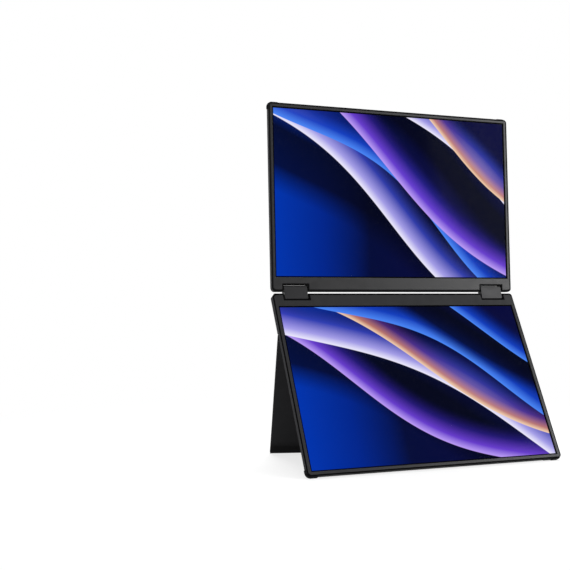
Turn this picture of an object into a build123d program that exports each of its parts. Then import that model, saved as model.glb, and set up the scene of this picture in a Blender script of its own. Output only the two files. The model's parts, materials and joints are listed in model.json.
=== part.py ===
from build123d import *
import os
from math import acos, atan, cos, degrees, pi, radians, sin, tan

# Dual portable monitor, standing as it is used: two display units on a geared double hinge.
# Millimetres, +Z up, -Y towards the viewer, origin on the table under the middle of the part.

# Pose: how far each unit leans back from the vertical
upper_lean = radians(3.8)
lower_lean = radians(29.0)

# Display unit, round the lit area of its screen
active_width = 301.6
active_height = 188.5
active_margin = 17.7
side_margin = 6.0
far_margin = 5.8
unit_thickness = 8.6
corner_radius = 5.0
rear_chamfer = 1.2
rim_depth = 3.0
rim_width = 11.0
front_chamfer = 0.4
hinge_edge_radius = 2.0
side_wall = 1.1
hinge_wall = 2.6
back_wall = 1.2

# Screen, from the front: bezel lip, glass, panel, backplate
dark_border = 1.3
glass_overlap = 2.0
lip_thickness = 0.6
lip_chamfer = 0.4
glass_thickness = 0.6
panel_thickness = 1.0
plate_thickness = 0.8
seat_gap = 0.15
bezel_rim = 1.0
plate_gap = 0.3

# Double hinge
axis_inset = 3.38
closed_gap = 1.0
block_inset = 28.6
block_width = 28.0
block_reach = 3.4
block_thickness = 7.4
block_corner = 1.4
chamber_radius = 2.4
notch_depth = 8.3
notch_gap = 1.2
bearing_length = 10.0
cap_thickness = 2.5
journal_depth = 1.5
shaft_radius = 1.5
journal_radius = 1.0
running_gap = 0.05
channel_gap = 0.3
tail_start_gap = 0.4
tail_length = 12.0
tail_reach = 9.5
tail_thickness = 1.4
leaf_length = 23.0
leaf_near = 5.3
leaf_far = 12.5

# Gears that keep both halves of the fold equal
gear_teeth = 10
gear_width = 5.0
gear_end_gap = 0.4
pressure_angle = radians(25)
addendum_share = 0.8
dedendum_share = 1.05
gear_backlash = 0.06
idler_pin_radius = 0.5
friction_plate_count = 8
friction_plate_thickness = 0.8
friction_plate_gap = 0.2

# Stand flap, hinged on a slanting line of the lower back
stand_slant = radians(15.3)
stand_near = 49.0
stand_margin = 21.3
stand_thickness = 2.2
stand_gap = 0.4
stand_end_gap = 0.8
stand_seat_gap = 0.3
stand_corner_radius = 1.5
foot_height = 10.0
tongue_thickness = 0.8
tongue_length = 5.0
knuckle_length = 12.0
knuckle_side_gap = 0.3
knuckle_sweep_gap = 0.5
knuckle_foot = 0.8
knuckle_shares = (0.12, 0.5, 0.88)
stand_pin_radius = 0.55
stand_pin_reach = 7.0

# Corner bumpers
bumper_proud = 1.0
bumper_sunk = 0.6
bumper_along_edge = 12.0
bumper_along_side = 7.5
bumper_front = 2.2
bumper_back = 6.0
upper_bumper_back = 4.8
bumper_round = 0.4

# Boards
board_thickness = 0.7
board_wall_gap = 0.4
board_near = 16.0
board_tail = 15.6
board_width = 62.0
board_radius = 2.0
board_notch = 1.6
board_notch_end = 4.0
chip_side = 14.0
chip_height = 0.9
chip_rows = 3
chip_pitch = 38.0
chip_inset = 22.0
driver_near = 18.0
driver_width = 190.0
driver_depth = 16.0
driver_chips = 4
driver_chip_pitch = 44.0
driver_chip_width = 12.0
driver_chip_depth = 6.0

# Sockets and buttons on the right edge, placed from the hinge edge
socket_recess = 0.3
socket_gap = 0.1
oval_count = 3
oval_first = 36.5
oval_pitch = 16.75
oval_width = 8.94
oval_height = 3.26
oval_depth = 7.5
oval_shell = 0.3
oval_tongue_width = 6.7
oval_tongue_height = 0.7
oval_tongue_depth = 5.0
oval_mouth_depth = 6.3
video_place = 88.4
video_width = 11.2
video_height = 3.2
video_depth = 7.5
video_shell = 0.35
video_corner = 0.8
video_tongue_width = 7.6
video_tongue_height = 0.7
jack_place = 21.5
jack_radius = 1.8
jack_width = 6.0
jack_length = 12.0
jack_bore_depth = 11.0
jack_play = 0.05
jack_slack = 0.3
button_count = 3
button_first = 114.9
button_pitch = 15.75
button_length = 8.4
menu_length = 11.8
button_height = 2.4
button_proud = 0.35
button_gap = 0.25
button_flange = 0.6
button_flange_lip = 0.7
button_wall_gap = 0.05
switch_gap = 0.45
switch_depth = 3.4
switch_length = 4.6
switch_height = 3.0
plunger_radius = 0.7
plunger_length = 0.6

# Screw socket on the lower back, for a quarter-inch tripod screw
socket_place = 54.0
socket_radius = 3.175
insert_radius = 5.0
insert_end_gap = 0.3
boss_wall = 1.5
locator_step = 6.4
locator_radius = 1.3
locator_depth = 2.6
locator_boss_radius = 2.9

# Screws
screw_radius = 0.7
screw_head_radius = 1.35
screw_head_height = 0.7
screw_slack = 0.1
screw_tip_gap = 0.3
cover_screw_near = 9.0
cover_screw_gap = 3.7
cover_screw_share = 0.353
cover_screw_length = 3.6
post_radius = 2.2
hinge_screw_count = 2
hinge_screw_near = 7.4
hinge_screw_first = 4.0
hinge_screw_step = 5.0

# Excess length of a cut past the face that it starts from
overrun = 3.0

# Outer size of a unit
unit_width = active_width + 2 * side_margin
unit_height = active_margin + active_height + far_margin

# Depths behind the front face
axis_depth = unit_thickness / 2
glass_back = lip_thickness + glass_thickness
panel_back = glass_back + panel_thickness
plate_back = panel_back + plate_thickness
board_back = plate_back + board_thickness
cover_floor = unit_thickness - back_wall
stand_recess = stand_thickness + stand_seat_gap
recess_floor = unit_thickness - stand_recess
shallow_floor = recess_floor - back_wall
stand_pivot_depth = unit_thickness - stand_thickness / 2

# Window, glass and panel sizes
window_width = active_width + 2 * dark_border
window_height = active_height + 2 * dark_border
window_middle = active_margin + active_height / 2
glass_inset = side_wall + bezel_rim + 2 * seat_gap
glass_near = active_margin - dark_border - glass_overlap
glass_width = unit_width - 2 * glass_inset
glass_height = unit_height - glass_inset - glass_near
glass_middle = glass_near + glass_height / 2

# Hinge places
block_offset = unit_width / 2 - block_inset
axis_spacing = unit_thickness + closed_gap
block_lean = (upper_lean + lower_lean) / 2
notch_width = block_width + 2 * notch_gap
cavity_length = block_width - bearing_length - cap_thickness
block_start = -block_width / 2
bearing_end = block_start + bearing_length
cap_start = block_width / 2 - cap_thickness
gear_start = cap_start - gear_end_gap - gear_width
tail_start = -notch_width / 2 - side_wall - tail_start_gap

# Stand: its foot line reaches the table together with the bumpers of the lower unit
stand_open = 2 * atan(tan(lower_lean) / cos(stand_slant))
stand_round = stand_thickness / 2
bumper_reach = unit_height + bumper_proud - bumper_round
bumper_low = bumper_back - bumper_round
foot_line = (
    bumper_reach
    + (bumper_low - stand_pivot_depth) * tan(lower_lean)
    + (bumper_round - stand_round) / cos(lower_lean)
)
stand_side = unit_width / 2 - stand_margin
stand_axis_length = (unit_width - stand_margin) / cos(stand_slant)

# Height of the lower hinge edge over the table, and its place between the front and the back reach
edge_height = bumper_reach * cos(lower_lean) + bumper_low * sin(lower_lean) + bumper_round
front_reach = unit_height * sin(lower_lean)
foot_along = (foot_line - stand_near) * sin(stand_slant)
foot_across = (foot_line - stand_near) * cos(stand_slant)
foot_down = stand_near + foot_along * sin(stand_slant) + foot_across * cos(stand_open) * cos(stand_slant)
foot_out = stand_pivot_depth + foot_across * sin(stand_open)
foot_reach = foot_out * cos(lower_lean) - foot_down * sin(lower_lean)
edge_depth = (front_reach - foot_reach) / 2


def leaning(lean, along, out):
    """A step along a leaning direction and out of its front, as a vector."""
    return Vector(0, along * sin(lean) - out * cos(lean), along * cos(lean) + out * sin(lean))


# Frames. A unit's frame has its origin on the front face at the middle of the hinge edge,
# with +y away from the hinge and +z out of the screen.
lower_edge = Vector(0, edge_depth, edge_height)
lower_axis = lower_edge - leaning(lower_lean, axis_inset, axis_depth)
hinge_middle = lower_axis + leaning(block_lean, axis_spacing / 2, 0)
upper_axis = lower_axis + leaning(block_lean, axis_spacing, 0)
upper_edge = upper_axis + leaning(upper_lean, -axis_inset, axis_depth)
upper = Plane(origin=upper_edge, x_dir=(1, 0, 0), z_dir=leaning(upper_lean, 0, 1))
lower = Plane(origin=lower_edge, x_dir=(-1, 0, 0), z_dir=leaning(lower_lean, 0, 1))


def across_plane(unit, place=0):
    """Section of a unit square to its width: x runs from the hinge edge, y out of the front."""
    middle = unit.from_local_coords(Vector(place, 0, 0))
    return Plane(origin=middle, x_dir=unit.y_dir, z_dir=unit.x_dir)


def along_plane(unit):
    """Section of a unit square to its height: x runs across the width, y out of the front."""
    return Plane(origin=unit.origin, x_dir=unit.x_dir, z_dir=-unit.y_dir)


def block_plane(side, along, centre=hinge_middle):
    """Section of a hinge block: x runs up the block, z away from the middle of the part."""
    place = Vector(side * (block_offset + along), 0, 0)
    return Plane(origin=centre + place, x_dir=leaning(block_lean, 1, 0), z_dir=(side, 0, 0))


def unit_place(unit, side, along):
    """Place on a unit's width, measured outward along a hinge block from its middle."""
    return side * unit.x_dir.X * (block_offset + along)


# Edge with the sockets: x runs from the hinge edge, y is depth behind the front, z points out
port_plane = Plane(
    origin=lower.from_local_coords(Vector(-unit_width / 2, 0, 0)),
    x_dir=lower.y_dir,
    z_dir=-lower.x_dir,
)

# Stand axis, and the flap's sheet, which carries the lower unit's own x and y when it is closed
stand_axis_start = lower.from_local_coords(Vector(unit_width / 2, stand_near, -stand_pivot_depth))
stand_direction = lower.y_dir * sin(stand_slant) - lower.x_dir * cos(stand_slant)
stand_hinge = Axis(stand_axis_start, stand_direction)
closed_sheet = lower.offset(-stand_pivot_depth)


def opened(step):
    """A vector of the closed flap, turned with the flap to where it stands."""
    return step.rotate(stand_hinge, degrees(stand_open))


open_sheet = Plane(
    origin=stand_axis_start + opened(closed_sheet.origin - stand_axis_start),
    x_dir=opened(closed_sheet.x_dir),
    z_dir=opened(closed_sheet.z_dir),
)


def stand_point(along, across):
    """Place on the closed flap, given along its axis from the open side and away from the axis."""
    return (
        unit_width / 2 - along * cos(stand_slant) + across * sin(stand_slant),
        stand_near + along * sin(stand_slant) + across * cos(stand_slant),
    )


def stand_line(place, across):
    """Point of a line beside the stand axis where it crosses a place on the unit's width."""
    along = (unit_width / 2 - place + across * sin(stand_slant)) / cos(stand_slant)
    return stand_point(along, across)


def keep(part, name):
    """Labels a finished piece and writes it."""
    part.label = name
    export_step(part, f"parts/{name}.step")


def inner_outline(inset):
    """Inside of a unit's walls, drawn in by an inset, with the corners that hold the hinge blocks cut off."""
    width = unit_width - 2 * (side_wall + inset)
    near = hinge_wall + inset
    far = unit_height - side_wall - inset
    with Locations((0, (near + far) / 2)):
        RectangleRounded(width, far - near, corner_radius - side_wall - inset)
    with Locations((-block_offset, 0), (block_offset, 0)):
        Rectangle(
            notch_width + 2 * (side_wall + inset),
            2 * (notch_depth + side_wall + inset),
            mode=Mode.SUBTRACT,
        )


def recess_outline(margin):
    """Bed of the closed flap, widened by a margin, open at the outer edge and at one side."""
    top = -(stand_round + stand_gap + margin)
    inner = -(stand_side + stand_end_gap + margin)
    outer = unit_width / 2 + overrun
    low = unit_height + overrun
    Polygon(
        stand_line(outer, top),
        stand_line(inner, top),
        (inner, low),
        (outer, low),
        align=None,
    )


def bumper_outline(side, outer):
    """Strip round an outer corner, from its seat in the wall out to a given height over it."""
    with Locations((0, unit_height / 2)):
        RectangleRounded(unit_width + 2 * outer, unit_height + 2 * outer, corner_radius + outer)
        RectangleRounded(
            unit_width - 2 * bumper_sunk,
            unit_height - 2 * bumper_sunk,
            corner_radius - bumper_sunk,
            mode=Mode.SUBTRACT,
        )
    with Locations((side * unit_width / 2, unit_height)):
        Rectangle(2 * bumper_along_edge, 2 * bumper_along_side, mode=Mode.INTERSECT)


def cover_screw_places():
    """Screws in the band between the hinge edge and the screen."""
    outer = block_offset + tail_start - leaf_length - cover_screw_gap
    inner = outer * cover_screw_share
    return [(place, cover_screw_near) for place in (-outer, -inner, inner, outer)]


def cover_shell(unit, seat_end):
    """Blank of a rear cover, with rounded hinge edge, notches, and bumper seats that end at a depth."""
    with BuildPart() as shell:
        with BuildSketch(unit):
            with Locations((0, unit_height / 2)):
                RectangleRounded(unit_width, unit_height, corner_radius)
        extrude(amount=-unit_thickness)
        with BuildSketch(across_plane(unit)) as section:
            with Locations((unit_height / 2, -unit_thickness / 2)):
                Rectangle(unit_height, unit_thickness)
            fillet(section.vertices().group_by(Axis.X)[0], hinge_edge_radius)
            far_corners = section.vertices().group_by(Axis.X)[-1].sort_by(Axis.Y)
            chamfer(far_corners[0], rear_chamfer)
            far_corners = section.vertices().group_by(Axis.X)[-1].sort_by(Axis.Y)
            chamfer(far_corners[-1], front_chamfer)
        extrude(amount=unit_width, both=True, mode=Mode.INTERSECT)
        with BuildSketch(along_plane(unit)) as section:
            with Locations((0, -unit_thickness / 2)):
                Rectangle(unit_width, unit_thickness)
            chamfer(section.vertices().group_by(Axis.Y)[0], rear_chamfer)
            chamfer(section.vertices().group_by(Axis.Y)[-1], front_chamfer)
        extrude(amount=2 * unit_height, both=True, mode=Mode.INTERSECT)
        with BuildSketch(unit.offset(overrun)):
            with Locations((-block_offset, 0), (block_offset, 0)):
                Rectangle(notch_width, 2 * notch_depth)
        extrude(amount=-unit_thickness - 2 * overrun, mode=Mode.SUBTRACT)
        with BuildSketch(unit.offset(-bumper_front)):
            bumper_outline(-1, overrun)
        extrude(amount=bumper_front - seat_end, mode=Mode.SUBTRACT)
        with BuildSketch(unit.offset(-bumper_front)):
            bumper_outline(1, overrun)
        extrude(amount=bumper_front - seat_end, mode=Mode.SUBTRACT)
    return shell.part


def rim_cut(edge, side):
    """What a section of the upper unit loses where its back curves in to a thinner edge on a side."""
    start = edge - side * rim_width
    outside = edge + side * overrun
    edge_back = rim_depth - unit_thickness
    with BuildLine() as curve:
        TangentArc((start, -unit_thickness), (edge, edge_back), tangent=(side, 0))
        Polyline(
            (edge, edge_back),
            (outside, edge_back),
            (outside, -unit_thickness - overrun),
            (start, -unit_thickness - overrun),
            (start, -unit_thickness),
        )
    make_face(curve.edges())


def cut_channels(unit):
    """Passages beside the notches for the shafts and their tails, cut from the open part."""
    centre = unit.from_local_coords(Vector(0, axis_inset, -axis_depth))
    for side in (-1, 1):
        with Locations(block_plane(side, tail_start - tail_length - tail_start_gap, centre)):
            Cylinder(
                shaft_radius + channel_gap,
                tail_length + 2 * tail_start_gap + side_wall + notch_gap,
                align=(Align.CENTER, Align.CENTER, Align.MIN),
                mode=Mode.SUBTRACT,
            )


def add_posts(unit, floor):
    """Posts from the cover's floor to the backplate, bored for the cover screws."""
    with Locations(unit.offset(-plate_back)):
        with Locations(*cover_screw_places()):
            Cylinder(
                post_radius,
                floor - plate_back,
                align=(Align.CENTER, Align.CENTER, Align.MAX),
            )
            Cylinder(
                screw_radius,
                cover_screw_length + screw_tip_gap,
                align=(Align.CENTER, Align.CENTER, Align.MAX),
                mode=Mode.SUBTRACT,
            )


os.makedirs("parts", exist_ok=True)

# Rear cover of the upper unit, thinner along its sides and its far edge
with BuildPart() as upper_rear_cover:
    add(cover_shell(upper, upper_bumper_back))
    with BuildSketch(along_plane(upper)):
        rim_cut(-unit_width / 2, -1)
        rim_cut(unit_width / 2, 1)
    extrude(amount=2 * unit_height, both=True, mode=Mode.SUBTRACT)
    with BuildSketch(across_plane(upper)):
        rim_cut(unit_height, 1)
    extrude(amount=unit_width, both=True, mode=Mode.SUBTRACT)
    with BuildSketch(upper):
        inner_outline(0)
    extrude(amount=rim_depth - cover_floor, mode=Mode.SUBTRACT)
    with BuildSketch(upper.offset(rim_depth - cover_floor + seat_gap)):
        inner_outline(0)
        deep_width = unit_width - 2 * (rim_width + side_wall)
        deep_far = unit_height - rim_width - side_wall
        Rectangle(deep_width, 2 * deep_far, mode=Mode.INTERSECT)
    extrude(amount=-rim_depth - seat_gap, mode=Mode.SUBTRACT)
    add_posts(upper, cover_floor)
    cut_channels(upper)
keep(upper_rear_cover.part, "upper_rear_cover")

# Rear cover of the lower unit, with the bed of the stand, the sockets' openings and the screw socket
with BuildPart() as lower_rear_cover:
    add(cover_shell(lower, bumper_back))
    with BuildSketch(lower):
        inner_outline(0)
    extrude(amount=-shallow_floor, mode=Mode.SUBTRACT)
    with BuildSketch(lower.offset(-shallow_floor + seat_gap)):
        inner_outline(0)
        with BuildSketch(mode=Mode.SUBTRACT):
            recess_outline(side_wall)
    extrude(amount=shallow_floor - seat_gap - cover_floor, mode=Mode.SUBTRACT)
    with BuildSketch(lower.offset(-recess_floor)):
        recess_outline(0)
    extrude(amount=-stand_recess - overrun, mode=Mode.SUBTRACT)
    add_posts(lower, cover_floor)
    cut_channels(lower)
    with BuildSketch(lower.offset(-plate_back - insert_end_gap)):
        with Locations((0, socket_place)):
            Circle(insert_radius + boss_wall)
    extrude(amount=plate_back + insert_end_gap - cover_floor)
    with BuildSketch(lower.offset(-cover_floor + locator_depth - back_wall / 2)):
        with Locations((0, socket_place - locator_step)):
            Circle(locator_boss_radius)
    extrude(amount=back_wall / 2 - locator_depth)
    with BuildSketch(lower.offset(-plate_back)):
        with Locations((0, socket_place)):
            Circle(insert_radius)
    extrude(amount=plate_back - unit_thickness - overrun, mode=Mode.SUBTRACT)
    with BuildSketch(lower.offset(-unit_thickness + locator_depth)):
        with Locations((0, socket_place - locator_step)):
            Circle(locator_radius)
    extrude(amount=-locator_depth - overrun, mode=Mode.SUBTRACT)
    oval_middle = board_back + oval_height / 2
    jack_middle = (plate_back + cover_floor) / 2
    with BuildSketch(port_plane.offset(overrun)):
        for number in range(oval_count):
            with Locations((oval_first + number * oval_pitch, oval_middle)):
                SlotOverall(oval_width + 2 * socket_gap, oval_height + 2 * socket_gap)
        with Locations((video_place, oval_middle)):
            RectangleRounded(video_width + 2 * socket_gap, video_height + 2 * socket_gap, video_corner)
        with Locations((jack_place, jack_middle)):
            Circle(jack_radius)
        for number in range(button_count):
            length = menu_length if number == 1 else button_length
            with Locations((button_first + number * button_pitch, oval_middle)):
                SlotOverall(length + 2 * button_gap, button_height + 2 * button_gap)
    extrude(amount=-side_wall - overrun - seat_gap, mode=Mode.SUBTRACT)
keep(lower_rear_cover.part, "lower_rear_cover")


def bezel(unit):
    """Front frame of a unit: a thin face with a lip over the glass and a rim that rests on the backplate."""
    with BuildPart() as frame:
        with BuildSketch(unit):
            inner_outline(seat_gap)
        extrude(amount=-panel_back)
        with BuildSketch(unit.offset(-glass_back)):
            inner_outline(seat_gap + bezel_rim)
        extrude(amount=glass_back - panel_back, mode=Mode.SUBTRACT)
        with BuildSketch(unit.offset(-lip_thickness)):
            with Locations((0, glass_middle)):
                Rectangle(glass_width + 2 * seat_gap, glass_height + 2 * seat_gap)
        extrude(amount=lip_thickness - panel_back, mode=Mode.SUBTRACT)
        with BuildSketch(unit.offset(overrun)):
            with Locations((0, window_middle)):
                Rectangle(window_width, window_height)
        extrude(amount=-panel_back - overrun, mode=Mode.SUBTRACT)
        with BuildSketch(unit.offset(-lip_chamfer)):
            with Locations((0, window_middle)):
                Rectangle(window_width, window_height)
        with BuildSketch(unit):
            with Locations((0, window_middle)):
                Rectangle(window_width + 2 * lip_chamfer, window_height + 2 * lip_chamfer)
        loft(mode=Mode.SUBTRACT)
    return frame.part


def sheet(unit, front, back):
    """A flat sheet of the glass's size between two depths."""
    with BuildPart() as slab:
        with BuildSketch(unit.offset(-front)):
            with Locations((0, glass_middle)):
                Rectangle(glass_width, glass_height)
        extrude(amount=front - back)
    return slab.part


def hinge_screw_places(unit, side):
    """Screws through a shaft's tail and its leaf."""
    first = tail_start - hinge_screw_first
    return [
        (unit_place(unit, side, first - number * hinge_screw_step), hinge_screw_near)
        for number in range(hinge_screw_count)
    ]


def backplate(unit):
    """Plate behind the panel, clear of the shafts, with holes for its screws."""
    with BuildPart() as plate:
        with BuildSketch(unit.offset(-panel_back)):
            inner_outline(plate_gap)
            for side in (-1, 1):
                with Locations((unit_place(unit, side, tail_start - tail_length / 2), 0)):
                    Rectangle(tail_length + 2 * tail_start_gap, 2 * leaf_near, mode=Mode.SUBTRACT)
                with Locations(*hinge_screw_places(unit, side)):
                    Circle(screw_radius, mode=Mode.SUBTRACT)
            with Locations(*cover_screw_places()):
                Circle(screw_radius + screw_slack, mode=Mode.SUBTRACT)
        extrude(amount=-plate_thickness)
    return plate.part


def cover_screws(unit):
    """Screws from the backplate into the cover's posts."""
    with BuildPart() as screws:
        with BuildSketch(unit.offset(-panel_back)):
            with Locations(*cover_screw_places()):
                Circle(screw_head_radius)
        extrude(amount=screw_head_height)
        with BuildSketch(unit.offset(-panel_back)):
            with Locations(*cover_screw_places()):
                Circle(screw_radius)
        extrude(amount=-plate_thickness - cover_screw_length)
    return screws.part


def hinge_screws(unit):
    """Screws from a shaft's tail through its leaf into the backplate."""
    tail_back = axis_depth + tail_thickness / 2
    places = hinge_screw_places(unit, -1) + hinge_screw_places(unit, 1)
    with BuildPart() as screws:
        with BuildSketch(unit.offset(-tail_back)):
            with Locations(*places):
                Circle(screw_head_radius)
        extrude(amount=-screw_head_height)
        with BuildSketch(unit.offset(-tail_back)):
            with Locations(*places):
                Circle(screw_radius)
        extrude(amount=tail_back - panel_back - screw_tip_gap)
    return screws.part


def leaf(unit, side):
    """Packing leaf between a shaft's tail and the backplate."""
    with BuildPart() as plate:
        with BuildSketch(unit.offset(-plate_back)):
            middle = (leaf_near + leaf_far) / 2
            with Locations((unit_place(unit, side, tail_start - leaf_length / 2), middle)):
                Rectangle(leaf_length, leaf_far - leaf_near)
            with Locations(*hinge_screw_places(unit, side)):
                Circle(screw_radius + screw_slack, mode=Mode.SUBTRACT)
        extrude(amount=plate_back - axis_depth + tail_thickness / 2)
    return plate.part


def gear_points(turn, place=0):
    """Outline of an involute gear at a place along x; at no turn its first tooth points along x."""
    pitch_radius = axis_spacing / 6
    module = 2 * pitch_radius / gear_teeth
    base = pitch_radius * cos(pressure_angle)
    tip = pitch_radius + addendum_share * module
    root = pitch_radius - dedendum_share * module
    half = pi / (2 * gear_teeth) - gear_backlash / (2 * pitch_radius) + tan(pressure_angle) - pressure_angle
    flank = [(root, half)]
    for radius in (base, (base + tip) / 2, tip):
        slope = acos(min(base / radius, 1))
        flank.append((radius, half - tan(slope) + slope))
    tooth = [(radius, -angle) for radius, angle in flank] + flank[::-1]
    points = []
    for number in range(gear_teeth):
        middle = turn + 2 * pi * number / gear_teeth
        points += [
            (place + radius * cos(middle + angle), radius * sin(middle + angle)) for radius, angle in tooth
        ]
    return points


def shaft(unit, centre, side, turn):
    """Hinge shaft of a unit: flat tail, plain journal, pinion and end journal."""
    tail_back = axis_depth + tail_thickness / 2
    tail_middle = (axis_inset + tail_reach) / 2
    with BuildPart() as rod:
        with BuildSketch(block_plane(side, tail_start - tail_length, centre)):
            Circle(shaft_radius)
        extrude(amount=gear_start - tail_start + tail_length)
        with BuildSketch(block_plane(side, gear_start, centre)):
            with BuildLine():
                Polyline(*gear_points(turn), close=True)
            make_face()
        extrude(amount=gear_width)
        with BuildSketch(block_plane(side, gear_start + gear_width, centre)):
            Circle(journal_radius)
        extrude(amount=gear_end_gap + journal_depth)
        with BuildSketch(unit.offset(-tail_back)):
            with Locations((unit_place(unit, side, tail_start - tail_length / 2), tail_middle)):
                Rectangle(tail_length, tail_reach - axis_inset)
        extrude(amount=tail_thickness)
        with BuildSketch(unit.offset(-tail_back - overrun)):
            with Locations(*hinge_screw_places(unit, side)):
                Circle(screw_radius + screw_slack)
        extrude(amount=tail_thickness + 2 * overrun, mode=Mode.SUBTRACT)
    return rod.part


def bumper(unit, side, seat_end):
    """Rubber corner of a unit, seated in the wall of its cover down to a depth."""
    with BuildPart() as corner:
        with BuildSketch(unit.offset(-bumper_front)):
            bumper_outline(side * unit.x_dir.X, bumper_proud)
        extrude(amount=bumper_front - seat_end)
        layers = corner.edges().group_by(Axis((0, 0, 0), unit.z_dir))
        fillet(layers[0] + layers[-1], bumper_round)
    return corner.part


pinion_half_turn = pi / gear_teeth
side_names = {-1: "left", 1: "right"}
units = (
    ("upper", upper, upper_axis, pinion_half_turn, upper_bumper_back),
    ("lower", lower, lower_axis, 0, bumper_back),
)
for unit_name, unit, centre, turn, seat_end in units:
    keep(bezel(unit), f"{unit_name}_bezel")
    keep(sheet(unit, lip_thickness, glass_back), f"{unit_name}_cover_glass")
    keep(sheet(unit, glass_back, panel_back), f"{unit_name}_display_panel")
    keep(backplate(unit), f"{unit_name}_backplate")
    keep(cover_screws(unit), f"{unit_name}_cover_screws")
    keep(hinge_screws(unit), f"{unit_name}_hinge_screws")
    for side, side_name in side_names.items():
        keep(leaf(unit, side), f"{unit_name}_{side_name}_leaf")
        keep(shaft(unit, centre, side, turn), f"{unit_name}_{side_name}_shaft")
        keep(bumper(unit, side, seat_end), f"{unit_name}_{side_name}_bumper")


def block_outline():
    """Section of a hinge block, nearly as thick as the units and rounded where it turns in their notches."""
    RectangleRounded(axis_spacing + 2 * block_reach, block_thickness, block_corner)


def chamber_outline():
    """Section of the chamber in a hinge block: a slot round both shaft axes."""
    SlotCenterToCenter(axis_spacing, 2 * chamber_radius)


axis_places = ((-axis_spacing / 2, 0), (axis_spacing / 2, 0))
idler_places = ((-axis_spacing / 6, 0), (axis_spacing / 6, 0))


def hinge_block(side):
    """Hinge block: bearings for both shafts, then an open chamber for the plates and gears."""
    with BuildPart() as block:
        with BuildSketch(block_plane(side, block_start)):
            block_outline()
        extrude(amount=block_width - cap_thickness)
        with BuildSketch(block_plane(side, bearing_end)):
            chamber_outline()
        extrude(amount=cavity_length + overrun, mode=Mode.SUBTRACT)
        with BuildSketch(block_plane(side, block_start - overrun)):
            with Locations(*axis_places):
                Circle(shaft_radius + running_gap)
        extrude(amount=bearing_length + 2 * overrun, mode=Mode.SUBTRACT)
        with BuildSketch(block_plane(side, bearing_end - journal_depth)):
            with Locations(*idler_places):
                Circle(idler_pin_radius)
        extrude(amount=journal_depth + overrun, mode=Mode.SUBTRACT)
    return block.part


def hinge_cap(side):
    """End cap of a hinge block, with blind seats for the shaft ends and the idler pins."""
    with BuildPart() as cap:
        with BuildSketch(block_plane(side, cap_start)):
            block_outline()
        extrude(amount=cap_thickness)
        with BuildSketch(block_plane(side, cap_start - overrun)):
            with Locations(*axis_places):
                Circle(journal_radius + running_gap)
            with Locations(*idler_places):
                Circle(idler_pin_radius)
        extrude(amount=journal_depth + running_gap + overrun, mode=Mode.SUBTRACT)
    return cap.part


def friction_plates(side):
    """Stack of plates that brake both shafts."""
    step = friction_plate_thickness + friction_plate_gap
    with BuildPart() as stack:
        for number in range(friction_plate_count):
            with BuildSketch(block_plane(side, bearing_end + friction_plate_gap + number * step)):
                chamber_outline()
                with Locations(*axis_places):
                    Circle(shaft_radius + running_gap, mode=Mode.SUBTRACT)
                with Locations(*idler_places):
                    Circle(idler_pin_radius + running_gap, mode=Mode.SUBTRACT)
            extrude(amount=friction_plate_thickness)
    return stack.part


def idler_pins(side):
    """Pins of the two idlers, from the bearing to the cap."""
    with BuildPart() as pins:
        with BuildSketch(block_plane(side, bearing_end - journal_depth)):
            with Locations(*idler_places):
                Circle(idler_pin_radius)
        extrude(amount=cavity_length + 2 * journal_depth)
    return pins.part


def idler(side, place, turn):
    """Idler gear of a hinge block."""
    with BuildPart() as gear:
        with BuildSketch(block_plane(side, gear_start)):
            with BuildLine():
                Polyline(*gear_points(turn, place), close=True)
            make_face()
            with Locations((place, 0)):
                Circle(idler_pin_radius + running_gap, mode=Mode.SUBTRACT)
        extrude(amount=gear_width)
    return gear.part


for side, side_name in side_names.items():
    keep(hinge_block(side), f"{side_name}_hinge_block")
    keep(hinge_cap(side), f"{side_name}_hinge_cap")
    keep(friction_plates(side), f"{side_name}_friction_plates")
    keep(idler_pins(side), f"{side_name}_idler_pins")
    keep(idler(side, -axis_spacing / 6, pinion_half_turn), f"{side_name}_lower_idler")
    keep(idler(side, axis_spacing / 6, 0), f"{side_name}_upper_idler")

# Main board, behind the lower backplate beside the sockets
board_length = button_first + (button_count - 1) * button_pitch + board_tail - board_near
board_edge = -(unit_width / 2 - side_wall - board_wall_gap)
with BuildPart() as main_board:
    with BuildSketch(lower.offset(-plate_back)):
        with Locations((board_edge + board_width / 2, board_near + board_length / 2)):
            RectangleRounded(board_width, board_length, board_radius)
        with Locations((board_edge, jack_place)):
            Rectangle(2 * (jack_length + jack_slack), jack_width + 2 * jack_slack, mode=Mode.SUBTRACT)
        with Locations((board_edge, button_first + button_pitch)):
            notch_length = 2 * button_pitch + menu_length + board_notch_end
            Rectangle(2 * board_notch, notch_length, mode=Mode.SUBTRACT)
    extrude(amount=-board_thickness)
    with BuildSketch(lower.offset(-board_back)):
        for row in range(chip_rows):
            place = board_near + chip_inset + row * chip_pitch
            with Locations((board_edge + board_width - chip_inset, place)):
                RectangleRounded(chip_side, chip_side, board_radius / 2)
    extrude(amount=-chip_height)
keep(main_board.part, "main_board")

# Driver board, behind the upper backplate along the hinge edge
with BuildPart() as driver_board:
    with BuildSketch(upper.offset(-plate_back)):
        with Locations((0, driver_near + driver_depth / 2)):
            RectangleRounded(driver_width, driver_depth, board_radius)
    extrude(amount=-board_thickness)
    with BuildSketch(upper.offset(-board_back)):
        with Locations((0, driver_near + driver_depth / 2)):
            with GridLocations(driver_chip_pitch, driver_depth, driver_chips, 1):
                Rectangle(driver_chip_width, driver_chip_depth)
    extrude(amount=-chip_height)
keep(driver_board.part, "driver_board")


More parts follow.
